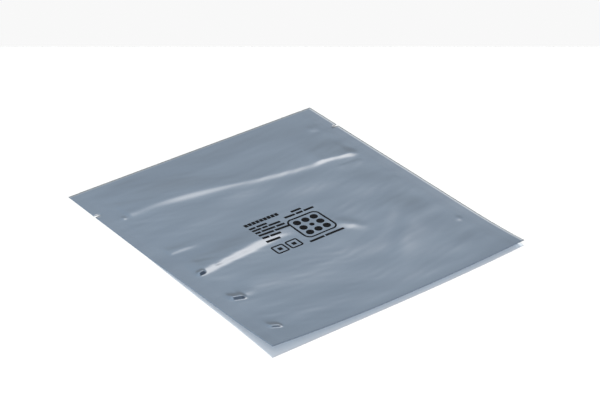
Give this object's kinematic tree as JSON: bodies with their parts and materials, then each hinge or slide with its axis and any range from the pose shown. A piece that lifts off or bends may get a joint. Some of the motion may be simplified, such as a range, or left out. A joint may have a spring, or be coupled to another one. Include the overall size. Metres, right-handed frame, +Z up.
{
  "type": "static shielding bag",
  "caption": "Flat open-ended bag of metallised grey film, folded at one end, heat-sealed along both sides and notched for tearing.",
  "frame": {"origin": "centre of the bag's outline, on the surface that the bag lies on", "axes": "+X across the bag from seal to seal, +Y from the folded end to the open end, +Z up from the surface"},
  "size_m": [0.229, 0.259, 0.0048],
  "materials": {
    "metallised_film": "half-glossy metallised film, blue-grey"
  },
  "bodies": {
    "root": {"shielding_bag": "metallised_film"}
  },
  "joints": []
}
